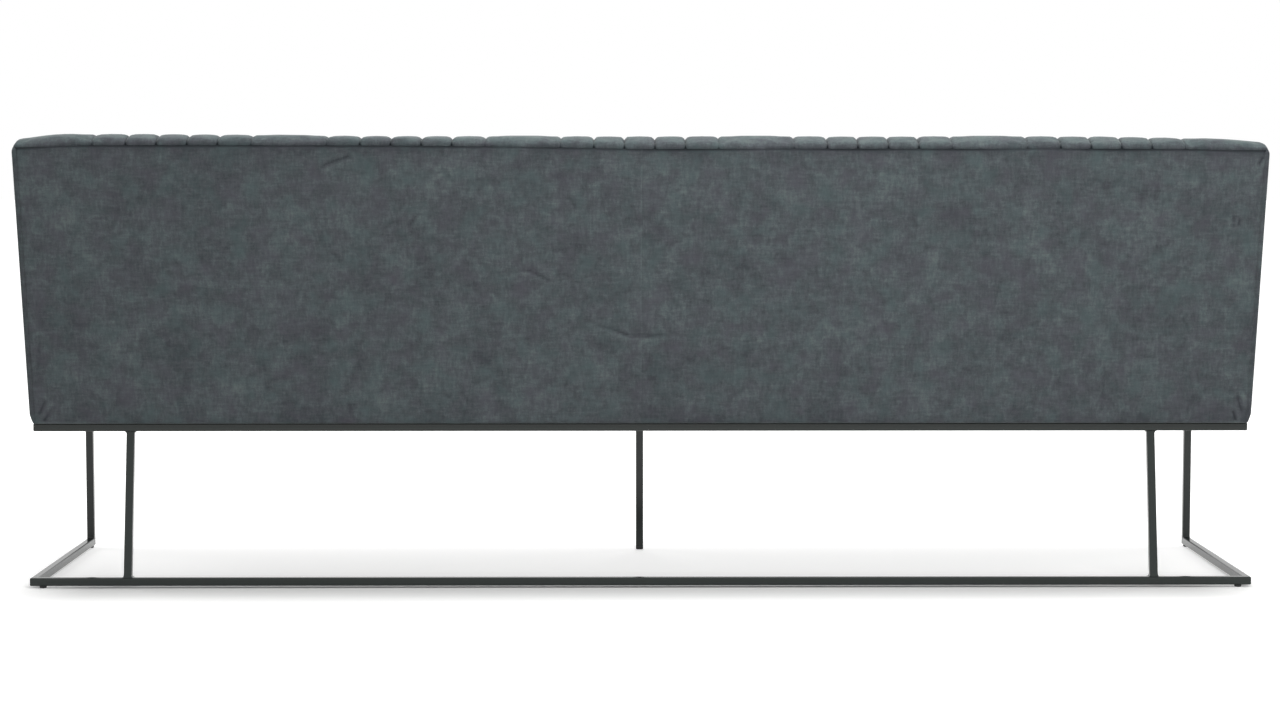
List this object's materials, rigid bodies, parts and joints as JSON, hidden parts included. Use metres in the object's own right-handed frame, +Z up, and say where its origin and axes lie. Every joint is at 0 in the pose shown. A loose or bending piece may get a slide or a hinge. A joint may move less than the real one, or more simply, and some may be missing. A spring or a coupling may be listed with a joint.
{
  "type": "dining sofa",
  "caption": "Long armless dining sofa: leaned back with quilted channels, plain padded seat, on an open sled frame of slim square steel tube.",
  "frame": {"origin": "on the floor, under the middle of the sofa's bounding box", "axes": "+X along the sofa's length, towards the right end as seen from the front; +Y from the front of the seat towards the rear; +Z up"},
  "size_m": [2.2802, 0.6397, 0.8375],
  "materials": {
    "powder_coat": "matte",
    "zinc_plated": "satin",
    "black_plastic": "matte",
    "softwood": "matte",
    "fibreboard": "matte",
    "webbing": "matte",
    "felt": "matte",
    "foam": "matte",
    "velvet": "matte",
    "dust_cloth": "matte"
  },
  "bodies": {
    "root": {"rear_floor_bar": "powder_coat", "left_floor_bar": "powder_coat", "right_floor_bar": "powder_coat", "left_front_leg": "powder_coat", "right_front_leg": "powder_coat", "left_rear_leg": "powder_coat", "right_rear_leg": "powder_coat", "centre_leg": "powder_coat", "rear_top_rail": "powder_coat", "front_top_rail": "powder_coat", "left_top_rail": "powder_coat", "right_top_rail": "powder_coat", "centre_cross_rail": "powder_coat", "rear_left_tab": "powder_coat", "rear_right_tab": "powder_coat", "front_left_tab": "powder_coat", "front_right_tab": "powder_coat", "rear_left_screw": "zinc_plated", "rear_right_screw": "zinc_plated", "front_left_screw": "zinc_plated", "front_right_screw": "zinc_plated", "rear_left_glide": "black_plastic", "rear_right_glide": "black_plastic", "front_left_glide": "black_plastic", "front_right_glide": "black_plastic", "centre_leg_foot": "black_plastic", "seat_front_rail": "softwood", "seat_rear_rail": "softwood", "seat_left_rail": "softwood", "seat_right_rail": "softwood", "left_seat_cross_rail": "softwood", "right_seat_cross_rail": "softwood", "front_left_corner_block": "softwood", "front_right_corner_block": "softwood", "rear_left_corner_block": "softwood", "rear_right_corner_block": "softwood", "left_back_post": "softwood", "left_inner_back_post": "softwood", "centre_back_post": "softwood", "right_inner_back_post": "softwood", "right_back_post": "softwood", "back_top_rail": "softwood", "back_lower_rail": "softwood", "back_board": "fibreboard", "seat_webbing": "webbing", "back_webbing": "webbing", "seat_felt": "felt", "seat_foam": "foam", "back_foam": "foam", "seat_cover": "velvet", "back_cover": "velvet", "seat_front_border": "velvet", "seat_left_border": "velvet", "seat_right_border": "velvet", "left_back_side_cover": "velvet", "right_back_side_cover": "velvet", "left_outside_back_cover": "velvet", "right_outside_back_cover": "velvet", "dust_cover": "dust_cloth"}
  },
  "joints": []
}
